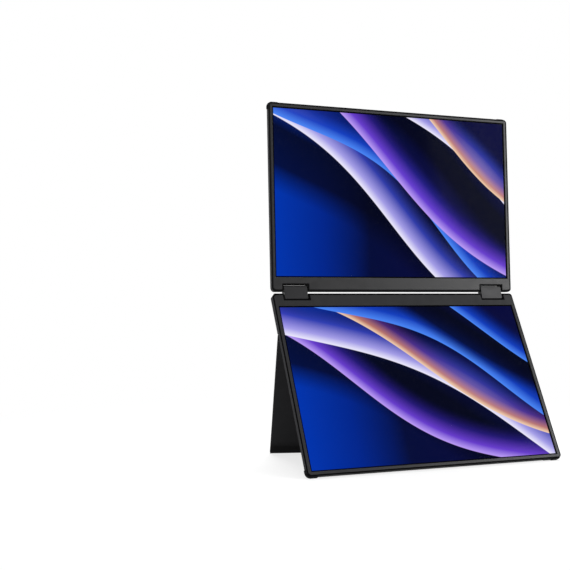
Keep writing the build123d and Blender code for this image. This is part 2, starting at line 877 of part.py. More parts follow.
def oval_socket(place):
    """Reversible flat socket: an oval shell with a tongue in its mouth."""
    face = port_plane.offset(-socket_recess)
    with BuildPart() as port:
        with BuildSketch(face):
            with Locations((place, oval_middle)):
                SlotOverall(oval_width, oval_height)
        extrude(amount=-oval_depth)
        with BuildSketch(face.offset(overrun)):
            with Locations((place, oval_middle)):
                SlotOverall(oval_width - 2 * oval_shell, oval_height - 2 * oval_shell)
        extrude(amount=-oval_mouth_depth - overrun, mode=Mode.SUBTRACT)
        with BuildSketch(face.offset(-oval_mouth_depth)):
            with Locations((place, oval_middle)):
                Rectangle(oval_tongue_width, oval_tongue_height)
        extrude(amount=oval_tongue_depth)
    return port.part


for number in range(oval_count):
    keep(oval_socket(oval_first + number * oval_pitch), f"oval_socket_{number + 1}")

# Small video socket
with BuildPart() as video_socket:
    video_face = port_plane.offset(-socket_recess)
    with BuildSketch(video_face):
        with Locations((video_place, board_back + video_height / 2)):
            RectangleRounded(video_width, video_height, video_corner)
    extrude(amount=-video_depth)
    with BuildSketch(video_face.offset(overrun)):
        with Locations((video_place, board_back + video_height / 2)):
            RectangleRounded(
                video_width - 2 * video_shell,
                video_height - 2 * video_shell,
                video_corner - video_shell,
            )
    extrude(amount=-oval_mouth_depth - overrun, mode=Mode.SUBTRACT)
    with BuildSketch(video_face.offset(-oval_mouth_depth)):
        with Locations((video_place, board_back + video_height / 2)):
            Rectangle(video_tongue_width, video_tongue_height)
    extrude(amount=oval_tongue_depth)
keep(video_socket.part, "video_socket")

# Sound socket, against the inside of the wall
with BuildPart() as sound_socket:
    with BuildSketch(port_plane.offset(-side_wall)):
        with Locations((jack_place, jack_middle)):
            Rectangle(jack_width, cover_floor - plate_back - 2 * jack_play)
    extrude(amount=-jack_length)
    with BuildSketch(port_plane.offset(-side_wall + overrun)):
        with Locations((jack_place, jack_middle)):
            Circle(jack_radius - jack_play)
    extrude(amount=-jack_bore_depth - overrun, mode=Mode.SUBTRACT)
keep(sound_socket.part, "sound_socket")


def button(place, length):
    """Push button: a slot-shaped cap with a flange behind the wall."""
    with BuildPart() as cap:
        with BuildSketch(port_plane.offset(button_proud)):
            with Locations((place, oval_middle)):
                SlotOverall(length, button_height)
        extrude(amount=-button_proud - side_wall - button_wall_gap)
        chamfer(cap.faces().sort_by(Axis.X)[-1].edges(), button_proud / 2)
        with BuildSketch(port_plane.offset(-side_wall - button_wall_gap)):
            with Locations((place, oval_middle)):
                SlotOverall(length + 2 * button_flange_lip, button_height + 2 * button_flange_lip)
        extrude(amount=-button_flange)
    return cap.part


button_names = ("power_button", "menu_button", "input_button")
for number, name in enumerate(button_names):
    keep(button(button_first + number * button_pitch, menu_length if number == 1 else button_length), name)

# Switches behind the buttons, on the main board
with BuildPart() as button_switches:
    plunger_face = -side_wall - button_wall_gap - button_flange - switch_gap
    for number in range(button_count):
        place = button_first + number * button_pitch
        with BuildSketch(port_plane.offset(plunger_face - plunger_length)):
            with Locations((place, board_back + switch_height / 2)):
                Rectangle(switch_length, switch_height)
        extrude(amount=-switch_depth)
        with BuildSketch(port_plane.offset(plunger_face)):
            with Locations((place, board_back + switch_height / 2)):
                Circle(plunger_radius)
        extrude(amount=-plunger_length)
keep(button_switches.part, "button_switches")

# Threaded insert of the screw socket, flush with the back
with BuildPart() as tripod_insert:
    with BuildSketch(lower.offset(-unit_thickness)):
        with Locations((0, socket_place)):
            Circle(insert_radius)
            Circle(socket_radius, mode=Mode.SUBTRACT)
    extrude(amount=unit_thickness - plate_back - insert_end_gap)
keep(tripod_insert.part, "tripod_insert")

# Stand hinge: knuckles on the floor of the bed, and their pins
flap_axis = Plane(origin=stand_axis_start, x_dir=stand_direction, z_dir=-open_sheet.z_dir)
rod_axis = Plane(origin=stand_axis_start, x_dir=lower.z_dir, z_dir=stand_direction)
knuckle_starts = [share * stand_axis_length - knuckle_length / 2 for share in knuckle_shares]
knuckle_notch = knuckle_length + 2 * knuckle_side_gap
floor_drop = stand_pivot_depth - recess_floor

with BuildPart() as stand_knuckles:
    for start in knuckle_starts:
        with BuildSketch(rod_axis.offset(start)):
            Circle(stand_round)
            with Locations((floor_drop / 2, 0)):
                Rectangle(floor_drop, 2 * knuckle_foot)
            Circle(stand_pin_radius, mode=Mode.SUBTRACT)
        extrude(amount=knuckle_length)
keep(stand_knuckles.part, "stand_knuckles")

with BuildPart() as stand_pins:
    for start in knuckle_starts:
        with BuildSketch(rod_axis.offset(start - knuckle_side_gap - stand_pin_reach)):
            Circle(stand_pin_radius)
        extrude(amount=knuckle_notch + 2 * stand_pin_reach)
keep(stand_pins.part, "stand_pins")

# Stand flap: a flat plate with a round hinge edge and a tongue for its foot
plate_end = foot_line - foot_height
end_trim = stand_round * tan(stand_slant)
with BuildPart() as stand_plate:
    with BuildSketch(open_sheet.offset(stand_round)):
        Polygon(
            stand_line(unit_width / 2, 0),
            stand_line(-stand_side, 0),
            (-stand_side, plate_end),
            (unit_width / 2, plate_end),
            align=None,
        )
    extrude(amount=-stand_thickness)
    with BuildSketch(rod_axis.offset(end_trim)):
        Circle(stand_round)
    extrude(amount=stand_axis_length - 2 * end_trim)
    with BuildSketch(open_sheet.offset(tongue_thickness / 2)):
        with Locations(((unit_width / 2 - stand_side) / 2, plate_end + tongue_length / 2)):
            Rectangle(unit_width / 2 + stand_side - 2 * stand_corner_radius, tongue_length)
    extrude(amount=-tongue_thickness)
    with BuildSketch(flap_axis.offset(-overrun)):
        for start in knuckle_starts:
            with Locations((start + knuckle_length / 2, 0)):
                Rectangle(knuckle_notch, 2 * (floor_drop + knuckle_sweep_gap))
    extrude(amount=2 * overrun, mode=Mode.SUBTRACT)
    for start in knuckle_starts:
        with BuildSketch(rod_axis.offset(start - knuckle_side_gap - stand_pin_reach - knuckle_side_gap)):
            Circle(stand_pin_radius + running_gap)
        extrude(amount=knuckle_notch + 2 * (stand_pin_reach + knuckle_side_gap), mode=Mode.SUBTRACT)
keep(stand_plate.part, "stand_plate")

# Rubber foot of the stand, over the tongue
foot_section = Plane(
    origin=open_sheet.from_local_coords(Vector(-stand_side, 0, 0)),
    x_dir=open_sheet.y_dir,
    z_dir=open_sheet.x_dir,
)
with BuildPart() as stand_foot:
    with BuildSketch(foot_section):
        with Locations((foot_line - foot_height / 2, 0)):
            Rectangle(foot_height, stand_thickness)
        with Locations((foot_line, 0)):
            Circle(stand_round)
    extrude(amount=unit_width / 2 + stand_side)
    with BuildSketch(open_sheet.offset(stand_thickness)) as outline:
        with Locations(((unit_width / 2 - stand_side) / 2, plate_end)):
            Rectangle(unit_width / 2 + stand_side, 2 * (foot_height + stand_round))
        fillet(outline.vertices().group_by(Axis.Y)[-1], stand_corner_radius)
    extrude(amount=-2 * stand_thickness, mode=Mode.INTERSECT)
    with BuildSketch(open_sheet.offset(tongue_thickness / 2)):
        with Locations(((unit_width / 2 - stand_side) / 2, plate_end + tongue_length / 2)):
            Rectangle(unit_width / 2 + stand_side - 2 * stand_corner_radius, tongue_length)
    extrude(amount=-tongue_thickness, mode=Mode.SUBTRACT)
keep(stand_foot.part, "stand_foot")
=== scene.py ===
import json
import math

import bmesh
import bpy
import numpy as np
from mathutils import Matrix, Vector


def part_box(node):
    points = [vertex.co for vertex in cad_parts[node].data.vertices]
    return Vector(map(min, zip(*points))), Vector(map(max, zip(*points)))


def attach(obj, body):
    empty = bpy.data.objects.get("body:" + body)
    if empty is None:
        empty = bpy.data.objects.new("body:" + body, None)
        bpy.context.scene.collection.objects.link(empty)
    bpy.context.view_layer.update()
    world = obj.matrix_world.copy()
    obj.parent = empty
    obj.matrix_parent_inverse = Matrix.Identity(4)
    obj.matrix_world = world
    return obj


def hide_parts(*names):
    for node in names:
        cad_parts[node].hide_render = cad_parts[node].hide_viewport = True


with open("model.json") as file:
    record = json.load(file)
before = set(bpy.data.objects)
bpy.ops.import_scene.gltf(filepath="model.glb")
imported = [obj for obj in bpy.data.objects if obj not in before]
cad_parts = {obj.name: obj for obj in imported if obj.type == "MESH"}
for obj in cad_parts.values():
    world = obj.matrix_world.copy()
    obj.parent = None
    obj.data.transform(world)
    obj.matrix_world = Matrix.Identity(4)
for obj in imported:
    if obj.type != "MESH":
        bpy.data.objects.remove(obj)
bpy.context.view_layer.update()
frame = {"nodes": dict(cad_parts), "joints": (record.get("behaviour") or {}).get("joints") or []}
nodes = frame["nodes"]
scene = bpy.context.scene

MM = 0.001

# Sizes of the object, in millimetres and radians, as its solids have them
UPPER_LEAN = math.radians(3.8)
LOWER_LEAN = math.radians(29.0)
UNIT_WIDTH = 313.6
UNIT_HEIGHT = 212.0
UNIT_THICKNESS = 8.6
AXIS_INSET = 3.38
ACTIVE_WIDTH = 301.6
ACTIVE_HEIGHT = 188.5
ACTIVE_MARGIN = 17.7
GLASS_BACK = 1.2
BLOCK_OFFSET = 128.2
NOTCH_WIDTH = 30.4
NOTCH_DEPTH = 8.3
HINGE_EDGE_ROUND = 2.0
SOCKET_PLACE = 54.0
SOCKET_RADIUS = 3.175
INSERT_RADIUS = 5.0
INSERT_DEPTH = 5.3

# Sizes of the new pieces, in millimetres
FILM_THICKNESS = 0.08
FILM_CORNER = 0.4
FILM_BORDER = 1.8
# Strips of painted shade in the hinge notches, where the gap round each block falls dark
SHADE_STRIP_STARTS = 0.15
SHADE_STRIP_LIP = 1.4
SHADE_STRIP_REACH = 2.5
SHADE_STRIP_ON_WALL = 0.5
SHADE_STRIP_ON_FLOOR = 0.6
SHADE_STRIP_TAPERED = 0.3
THREAD_PITCH = 1.27
THREAD_DEPTH = 0.55
MOUTH_CHAMFER = 0.5
OUTER_CHAMFER = MOUTH_CHAMFER / 3

# Softened edges of the moulded and bent solids, as radii in millimetres
SOFTENED = {"rear_cover": 0.2, "bezel": 0.12, "hinge_block": 0.25, "hinge_cap": 0.25, "stand_plate": 0.3}

# Steps, shares and limits of the meshes
CORNER_STEPS = 6
THREAD_STEPS = 12
ROUND_STEPS = 64
THREAD_SLOPE_SHARE = 1.6
THREAD_ROOT_SHARE = 0.3
SHARP_EDGE = math.radians(35)
POLE_MERGE = 1e-7
SEAM_MERGE = 1e-6
EDGE_STEPS = 2


def unit_frame(axis, lean, side):
    """A unit's origin, the middle of its front hinge edge, and its rows: across, off the hinge, and out."""
    across = np.array([side, 0.0, 0.0])
    away = side * np.array([0.0, math.sin(lean), math.cos(lean)])
    out = np.array([0.0, -math.cos(lean), math.sin(lean)])
    origin = axis - away * AXIS_INSET * MM + out * UNIT_THICKNESS / 2 * MM
    return origin, np.array([across, away, out])


axes = {joint["name"]: np.array(joint["pos_m"]) for joint in frame["joints"] if "pos_m" in joint}
upper = unit_frame(axes["upper_hinge"], UPPER_LEAN, 1)
lower = unit_frame(axes["lower_hinge"], LOWER_LEAN, -1)


def placed(unit, points):
    """Points in a unit's millimetres, carried to metres in the shared frame."""
    origin, rows = unit
    return origin + (np.asarray(points) * MM) @ rows


# Shapes: every new piece is an array of rows of points

def rounded_loop(width, height, radius):
    """Rounded rectangle with its normals: four quarter circles about corners drawn in by the radius."""
    turn = np.arange(4)[:, None] * math.pi / 2 + np.linspace(0, math.pi / 2, CORNER_STEPS)
    normals = np.stack([np.cos(turn), np.sin(turn)], axis=-1)
    corners = np.array([[1, 1], [-1, 1], [-1, -1], [1, -1]]) * (np.array([width, height]) / 2 - radius)
    return (corners[:, None] + radius * normals).reshape(-1, 2), normals.reshape(-1, 2)


def slab(loop, normals, profile):
    """Closed slab: row i is the loop drawn in by inset i, at height i; both ends close on the middle."""
    insets, heights = np.array(profile).T
    flat = loop[None] - normals[None] * insets[:, None, None]
    flat = np.concatenate([0 * flat[:1], flat, 0 * flat[:1]])
    level = np.concatenate([heights[:1], heights, heights[-1:]])
    return np.concatenate([flat, np.broadcast_to(level[:, None, None], flat.shape[:2] + (1,))], axis=-1)


def notch_shade_profile(side, face):
    """Painted shade: a dark five-cornered profile carried round the notch, down one wall, along its floor
    and up the other.
    """
    on_wall = np.array([0, SHADE_STRIP_ON_WALL, SHADE_STRIP_ON_WALL, SHADE_STRIP_TAPERED, 0])
    on_floor = np.array([0, SHADE_STRIP_ON_FLOOR, SHADE_STRIP_ON_FLOOR, SHADE_STRIP_TAPERED, 0])
    depth = np.array([SHADE_STRIP_STARTS, SHADE_STRIP_STARTS, SHADE_STRIP_LIP, SHADE_STRIP_REACH, SHADE_STRIP_REACH])
    half = NOTCH_WIDTH / 2 - on_wall
    mouth = np.full(len(depth), HINGE_EDGE_ROUND)
    x = np.stack([-half, -half, half, half])
    y = np.stack([mouth, NOTCH_DEPTH - on_floor, NOTCH_DEPTH - on_floor, mouth])
    z = np.broadcast_to(-depth if face > 0 else depth - UNIT_THICKNESS, x.shape)
    strip = np.stack([x + side * BLOCK_OFFSET, y, z], axis=-1)
    ends = strip[[0, -1]].mean(axis=1, keepdims=True) + 0 * strip[[0, -1]]
    return np.concatenate([ends[:1], strip, ends[1:]])


def threaded_sleeve():
    """Sleeve about z, mouth at 0: plain outside; its bore waves with depth over pitch less turn."""
    turn = np.linspace(0, 2 * math.pi, ROUND_STEPS, endpoint=False)
    rows = int(round(INSERT_DEPTH / THREAD_PITCH * THREAD_STEPS))
    inside = np.linspace(MOUTH_CHAMFER, INSERT_DEPTH, rows)[:, None] + 0 * turn
    phase = inside / THREAD_PITCH - turn / (2 * math.pi)
    wave = np.abs(2 * (phase - np.floor(phase + 0.5)))
    bore = SOCKET_RADIUS - THREAD_DEPTH * np.clip(THREAD_SLOPE_SHARE * wave - THREAD_ROOT_SHARE, 0, 1)
    plain = np.ones((1, ROUND_STEPS))
    radius = np.concatenate([
        bore[-1:],
        INSERT_RADIUS * plain,
        INSERT_RADIUS * plain,
        (INSERT_RADIUS - OUTER_CHAMFER) * plain,
        SOCKET_RADIUS * plain,
        bore,
    ])
    depth = np.concatenate([
        inside[-1:],
        INSERT_DEPTH * plain,
        OUTER_CHAMFER * plain,
        0 * plain,
        0 * plain,
        inside,
    ])
    return np.stack([radius * np.cos(turn), radius * np.sin(turn), depth], axis=-1)


def piece(name, points, body, material, uv=None):
    """Puts rows of points into a mesh whose rows close on themselves, and gives the piece to a body."""
    rows, columns = points.shape[:2]
    index = np.arange(rows * columns).reshape(rows, columns)
    following = np.roll(index, -1, axis=1)
    faces = np.stack([index[:-1], following[:-1], following[1:], index[1:]], axis=-1).reshape(-1, 4)
    mesh = bpy.data.meshes.new(name)
    mesh.from_pydata(points.reshape(-1, 3).tolist(), [], faces.tolist())
    if uv is not None:
        corner = np.empty(len(mesh.loops), dtype=np.int32)
        mesh.loops.foreach_get("vertex_index", corner)
        mesh.uv_layers.new(name="screen").data.foreach_set("uv", uv.reshape(-1, 2)[corner].ravel())
    shell = bmesh.new()
    shell.from_mesh(mesh)
    bmesh.ops.remove_doubles(shell, verts=shell.verts, dist=POLE_MERGE)
    bmesh.ops.recalc_face_normals(shell, faces=shell.faces)
    shell.to_mesh(mesh)
    shell.free()
    mesh.shade_smooth()
    mesh.set_sharp_from_angle(angle=SHARP_EDGE)
    mesh.materials.append(material)
    made = bpy.data.objects.new(name, mesh)
    scene.collection.objects.link(made)
    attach(made, body)
    return made


# Materials

# Most of a noise lies between these values
NOISE_LOW, NOISE_HIGH = 0.3, 0.7
# The soft patches weigh less in a tone than the pits, and their sum lies mostly between two values
PATCH_WEIGHT = 0.4
TONE_LOW, TONE_HIGH = 0.4, 1.0
# Patches and smears, in millimetres across, and how far the gloss of a finish spreads
PATCH_SIZE = 9.0
SMEAR_SIZE = 40.0
MOULDED_GLOSS_SPREAD = 0.05
METAL_GLOSS_SPREAD = 0.08

# Zones of the covers, bezels and stand, in millimetres, and their tones: painted shade at the covers' sides
# and front edges and in the bezels' outer lines, painted light on the covers' walls
SIDE_SHADE = 15.0
WALL_BLUR = 0.6
RIM_DEPTH = 0.9
RIM_BLUR = 0.3
UPPER_EDGE_LINE = 1.9
LOWER_EDGE_LINE = 1.3
FOOT_SHADE = 6.0
SIDE_SHADE_TONE = "#030304"
WALL_LIGHT_TONE = "#38383b"
EDGE_SHADE_TONE = "#080809"
FOOT_TONE = "#1b1b1c"
RIM_ROUGHNESS = 0.9


def linear(text):
    """A hex sRGB colour as linear red, green, blue and alpha."""
    shares = np.array([int(text[i:i + 2], 16) for i in (1, 3, 5)]) / 255
    shares = np.where(shares <= 0.04045, shares / 12.92, ((shares + 0.055) / 1.055) ** 2.4)
    return (*shares.tolist(), 1.0)


def node(tree, kind, inputs=None, stops=None, **options):
    """Adds a node, sets its options, colour stops and constants, and links the inputs given as outputs."""
    made = tree.nodes.new("ShaderNode" + kind)
    for key, value in options.items():
        setattr(made, key, value)
    for key, value in (inputs or {}).items():
        if isinstance(value, bpy.types.NodeSocket):
            tree.links.new(value, made.inputs[key])
        else:
            made.inputs[key].default_value = value
    for number, (place, colour) in enumerate(stops or ()):
        elements = made.color_ramp.elements
        stop = elements[number] if number < 2 else elements.new(place)
        stop.position, stop.color = place, colour
    return made


def surface(name):
    """An empty material with its tree and its surface shader."""
    material = bpy.data.materials.new(name)
    material.use_nodes = True
    return material, material.node_tree, material.node_tree.nodes["Principled BSDF"]


def moulded(name, dark, light, roughness, grain, depth, specular=0.5):
    """Moulded or blasted surface: pits of a grain and depth in mm, over soft patches of tone and gloss."""
    material, tree, shader = surface(name)
    place = node(tree, "TexCoord").outputs["Object"]
    pits = node(tree, "TexNoise", {"Vector": place, "Scale": 1 / (grain * MM), "Detail": 3.0,
                                   "Roughness": 0.6})
    patches = node(tree, "TexNoise", {"Vector": place, "Scale": 1 / (PATCH_SIZE * MM), "Detail": 4.0})
    blend = node(tree, "Math", {0: patches.outputs[0], 1: PATCH_WEIGHT, 2: pits.outputs[0]},
                 operation="MULTIPLY_ADD")
    tone = node(tree, "MapRange", {"Value": blend.outputs[0], "From Min": TONE_LOW, "From Max": TONE_HIGH})
    colour = node(tree, "ValToRGB", {0: tone.outputs[0]}, stops=[(0, linear(dark)), (1, linear(light))])
    gloss = node(tree, "MapRange", {"Value": patches.outputs[0],
                                    "From Min": NOISE_LOW, "From Max": NOISE_HIGH,
                                    "To Min": roughness - MOULDED_GLOSS_SPREAD,
                                    "To Max": roughness + MOULDED_GLOSS_SPREAD})
    bump = node(tree, "Bump", {"Height": pits.outputs[0], "Strength": 0.5, "Distance": depth * MM})
    tree.links.new(colour.outputs[0], shader.inputs["Base Color"])
    tree.links.new(gloss.outputs[0], shader.inputs["Roughness"])
    tree.links.new(bump.outputs[0], shader.inputs["Normal"])
    shader.inputs["Specular IOR Level"].default_value = specular
    return material


def metal(name, dark, light, roughness, line, across=(1, 1, 1)):
    """Bare metal: fine lines, their spacing in mm stretched along one axis, in tone, gloss and bump."""
    material, tree, shader = surface(name)
    place = node(tree, "TexCoord").outputs["Object"]
    drawn = node(tree, "Mapping", {"Vector": place, "Scale": across})
    lines = node(tree, "TexNoise", {"Vector": drawn.outputs[0], "Scale": 1 / (line * MM), "Detail": 4.0})
    colour = node(tree, "ValToRGB", {0: lines.outputs[0]},
                  stops=[(NOISE_LOW, linear(dark)), (NOISE_HIGH, linear(light))])
    gloss = node(tree, "MapRange", {"Value": lines.outputs[0],
                                    "From Min": NOISE_LOW, "From Max": NOISE_HIGH,
                                    "To Min": roughness - METAL_GLOSS_SPREAD,
                                    "To Max": roughness + METAL_GLOSS_SPREAD})
    bump = node(tree, "Bump", {"Height": lines.outputs[0], "Strength": 0.3, "Distance": 0.01 * MM})
    tree.links.new(colour.outputs[0], shader.inputs["Base Color"])
    tree.links.new(gloss.outputs[0], shader.inputs["Roughness"])
    tree.links.new(bump.outputs[0], shader.inputs["Normal"])
    shader.inputs["Metallic"].default_value = 1.0
    return material


def toned(material, layers, dull=None):
    """Lays tones over a finish, each by its share from 0 to 1, and dulls the surface by one more share."""
    tree = material.node_tree
    inputs = tree.nodes["Principled BSDF"].inputs
    colour = inputs["Base Color"].links[0].from_socket
    for share, tone in layers:
        colour = node(tree, "Mix", {0: share, 6: colour, 7: linear(tone)}, data_type="RGBA").outputs[2]
    tree.links.new(colour, inputs["Base Color"])
    if dull is not None:
        gloss = inputs["Roughness"].links[0].from_socket
        dulled = node(tree, "Mix", {0: dull, 2: gloss, 3: RIM_ROUGHNESS}, data_type="FLOAT")
        tree.links.new(dulled.outputs[0], inputs["Roughness"])


def cover_finish(name, unit, dark, light, specular):
    """Textured cover with painted shade towards its sides, painted light on its walls, and painted shade,
    nearly black, just behind the front.
    """
    material = moulded(name, dark, light, roughness=0.5, grain=0.9, depth=0.05, specular=specular)
    tree = material.node_tree
    origin, rows = unit
    front = float(origin @ rows[2])
    side = UNIT_WIDTH / 2
    place = node(tree, "TexCoord").outputs["Object"]
    x = node(tree, "SeparateXYZ", {0: place}).outputs[0]
    across = node(tree, "Math", {0: x}, operation="ABSOLUTE").outputs[0]
    height = node(tree, "VectorMath", {0: place, 1: tuple(rows[2])},
                  operation="DOT_PRODUCT").outputs["Value"]
    # Painted shade darkens the cover towards its sides and along the front edge; painted light makes its
    # walls paler
    turned = node(tree, "MapRange", {"Value": across, "From Min": (side - SIDE_SHADE) * MM,
                                     "From Max": side * MM}).outputs[0]
    wall = node(tree, "MapRange", {"Value": across, "From Min": (side - WALL_BLUR) * MM,
                                   "From Max": (side - WALL_BLUR / 2) * MM}).outputs[0]
    rim = node(tree, "MapRange", {"Value": height, "From Min": front - (RIM_DEPTH + RIM_BLUR) * MM,
                                  "From Max": front - RIM_DEPTH * MM}).outputs[0]
    toned(material, [(turned, SIDE_SHADE_TONE), (wall, WALL_LIGHT_TONE), (rim, EDGE_SHADE_TONE)], dull=rim)
    return material


def bezel_finish(name, unit, line):
    """Satin bezel with painted shade in a dark, dull outer line, by the larger of its reaches past the side
    and the end.
    """
    material = moulded(name, "#131315", "#1b1b1d", roughness=0.34, grain=0.7, depth=0.02, specular=0.25)
    tree = material.node_tree
    origin, rows = unit
    end = float(origin @ rows[1]) + UNIT_HEIGHT * MM
    place = node(tree, "TexCoord").outputs["Object"]
    x = node(tree, "SeparateXYZ", {0: place}).outputs[0]
    across = node(tree, "Math", {0: x}, operation="ABSOLUTE").outputs[0]
    away = node(tree, "VectorMath", {0: place, 1: tuple(rows[1])},
                operation="DOT_PRODUCT").outputs["Value"]
    past_side = node(tree, "Math", {0: across, 1: UNIT_WIDTH / 2 * MM}, operation="SUBTRACT").outputs[0]
    past_end = node(tree, "Math", {0: away, 1: end}, operation="SUBTRACT").outputs[0]
    past = node(tree, "Math", {0: past_side, 1: past_end}, operation="MAXIMUM").outputs[0]
    # Painted shade: the outer line is drawn dark and dull
    edge = node(tree, "MapRange", {"Value": past, "From Min": -(line + RIM_BLUR) * MM,
                                   "From Max": -line * MM}).outputs[0]
    toned(material, [(edge, EDGE_SHADE_TONE)], dull=edge)
    return material


def stand_finish(name):
    """Anodised sheet that darkens softly to its foot strip, by its height over the table at rest."""
    material = moulded(name, "#2c2c2e", "#363638", roughness=0.45, grain=0.6, depth=0.02, specular=0.08)
    tree = material.node_tree
    strip_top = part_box("stand_foot")[1][2]
    place = node(tree, "TexCoord").outputs["Object"]
    height = node(tree, "SeparateXYZ", {0: place}).outputs[2]
    low = node(tree, "MapRange", {"Value": height, "From Min": strip_top - FOOT_SHADE / 3 * MM,
                                  "From Max": strip_top + FOOT_SHADE * MM, "To Min": 1.0, "To Max": 0.0},
               interpolation_type="SMOOTHSTEP").outputs[0]
    toned(material, [(low, FOOT_TONE)])
    return material


def glass_finish(name):
    """Clear glass with a faint smear in its tint; an index near that of air stands for its bonded coat."""
    material, tree, shader = surface(name)
    place = node(tree, "TexCoord").outputs["Object"]
    smear = node(tree, "TexNoise", {"Vector": place, "Scale": 1 / (SMEAR_SIZE * MM), "Detail": 2.0})
    tint = node(tree, "ValToRGB", {0: smear.outputs[0]},
                stops=[(0, linear("#fcfcfd")), (1, linear("#ffffff"))])
    tree.links.new(tint.outputs[0], shader.inputs["Base Color"])
    shader.inputs["Roughness"].default_value = 0.0
    shader.inputs["Transmission Weight"].default_value = 1.0
    shader.inputs["IOR"].default_value = 1.001
    return material


def picture(name, turn, ground, folds):
    """Lit film with a black border: soft folds of light, each fading over its depth from a waving line."""
    material, tree, shader = surface(name)
    place = node(tree, "UVMap", uv_map="screen").outputs[0]
    level = node(tree, "SeparateXYZ", {0: place}).outputs[0]
    stops = [(at, linear(tint)) for at, tint in ground]
    colour = node(tree, "ValToRGB", {0: level}, stops=stops).outputs[0]
    turned = node(tree, "Mapping", {"Vector": place, "Rotation": (0, 0, turn)})
    along, up = node(tree, "SeparateXYZ", {0: turned.outputs[0]}).outputs[:2]
    for start, swing, waves, phase, depth, tints in folds:
        bend = node(tree, "Math", {0: along, 1: waves, 2: phase}, operation="MULTIPLY_ADD")
        wave = node(tree, "Math", {0: bend.outputs[0]}, operation="SINE")
        line = node(tree, "Math", {0: wave.outputs[0], 1: swing, 2: start}, operation="MULTIPLY_ADD")
        past = node(tree, "Math", {0: up, 1: line.outputs[0]}, operation="SUBTRACT")
        share = node(tree, "Math", {0: past.outputs[0], 1: depth}, operation="DIVIDE")
        stops = [(at, (*linear(tint)[:3], cover)) for at, tint, cover in tints]
        fold = node(tree, "ValToRGB", {0: share.outputs[0]}, stops=stops)
        mixed = node(tree, "Mix", {0: fold.outputs[1], 6: colour, 7: fold.outputs[0]}, data_type="RGBA")
        colour = mixed.outputs[2]
    half = (ACTIVE_WIDTH / ACTIVE_HEIGHT / 2, 0.5, 0.0)
    centred = node(tree, "VectorMath", {0: place, 1: half}, operation="SUBTRACT")
    reach = node(tree, "VectorMath", {0: centred.outputs[0]}, operation="ABSOLUTE")
    beyond = node(tree, "VectorMath", {0: reach.outputs[0], 1: half}, operation="SUBTRACT")
    past_side, past_end = node(tree, "SeparateXYZ", {0: beyond.outputs[0]}).outputs[:2]
    furthest = node(tree, "Math", {0: past_side, 1: past_end}, operation="MAXIMUM")
    border = node(tree, "Math", {0: furthest.outputs[0], 1: 0.0}, operation="GREATER_THAN")
    lit = node(tree, "Mix", {0: border.outputs[0], 6: colour, 7: linear("#000000")}, data_type="RGBA")
    spot = node(tree, "TexCoord").outputs["Object"]
    smear = node(tree, "TexNoise", {"Vector": spot, "Scale": 1 / (SMEAR_SIZE * MM), "Detail": 2.0})
    haze = node(tree, "MapRange", {"Value": smear.outputs[0], "To Min": 0.04, "To Max": 0.1})
    tree.links.new(lit.outputs[2], shader.inputs["Emission Color"])
    tree.links.new(haze.outputs[0], shader.inputs["Roughness"])
    shader.inputs["Emission Strength"].default_value = 1.0
    shader.inputs["Base Color"].default_value = linear("#020203")
    shader.inputs["IOR"].default_value = 1.05
    return material


# The grains are finer than the picture shows, so they are drawn two or three times as coarse.
# ABS with a spark-eroded texture: a dull charcoal with hardly any gleam.
upper_cover_abs = cover_finish("abs_spark_textured_upper_cover", upper, "#2b2b2d", "#343436", specular=0.11)
# The lower cover is the same ABS drawn darker and with less gleam: painted shade, as its back faces down
# away from the light.
shaded_lower_cover_abs = cover_finish("abs_spark_textured_lower_cover_painted_shade", lower, "#202022", "#28282a", specular=0.03)
# The bezels' ABS has a smoother texture: darker, and it gleams more at a slant.
upper_bezel_abs = bezel_finish("abs_satin_upper_bezel", upper, UPPER_EDGE_LINE)
lower_bezel_abs = bezel_finish("abs_satin_lower_bezel", lower, LOWER_EDGE_LINE)
# Dark anodised aluminium sheet: charcoal with a silky surface.
stand_metal = stand_finish("anodised_aluminium_stand")
# Moulded rubber: nearly black and dull, with a soft skin.
rubber = moulded("moulded_rubber", "#111112", "#19191a",
                 roughness=0.75, grain=0.8, depth=0.04, specular=0.1)
# The foot strip's rubber is a little paler than the bumpers'.
strip_rubber = moulded("moulded_rubber_strip", "#19191a", "#1f1f20",
                       roughness=0.7, grain=0.8, depth=0.03, specular=0.08)
# Powder-painted zinc of the hinge blocks: a shade lighter than the bezels.
hinge_paint = moulded("powder_painted_zinc", "#151517", "#1d1d1f",
                      roughness=0.36, grain=0.5, depth=0.02, specular=0.2)
# Painted shade for the hinge notches: a deep black that returns no gleam, standing in for the shadow in the
# gap round each block.
notch_shade_black = moulded("painted_notch_shade_finish", "#060606", "#0b0b0b",
                        roughness=0.9, grain=0.4, depth=0.02, specular=0.02)
# Polished ABS of the buttons: a clean, soft gleam.
button_abs = moulded("abs_polished_button", "#1b1b1c", "#232324",
                     roughness=0.3, grain=0.5, depth=0.01, specular=0.4)
# Black nylon inside the sockets: plain and half dull.
socket_black = moulded("nylon_socket_body", "#0c0c0c", "#141414",
                       roughness=0.5, grain=0.5, depth=0.02, specular=0.3)
# Lacquered glass-fibre board: dark green with a gleam.
board_lacquer = moulded("lacquered_board", "#0d2a1c", "#15402b",
                        roughness=0.35, grain=0.6, depth=0.02)
# Black print of the panels, behind the films: no tone of its own.
border_black = moulded("printed_black_border", "#030304", "#050506",
                       roughness=0.35, grain=0.6, depth=0.005, specular=0.1)
# Ground steel of shafts, gears and screws: bright, with fine lines round them.
ground_steel = metal("ground_steel", "#8b8b8d", "#b4b4b6",
                     roughness=0.32, line=0.25, across=(1, 6, 6))
# Rolled aluminium of the backplates: pale, with long lines.
rolled_sheet = metal("rolled_aluminium_sheet", "#a2a3a5", "#c2c3c5",
                     roughness=0.4, line=0.5, across=(0.1, 1, 1))
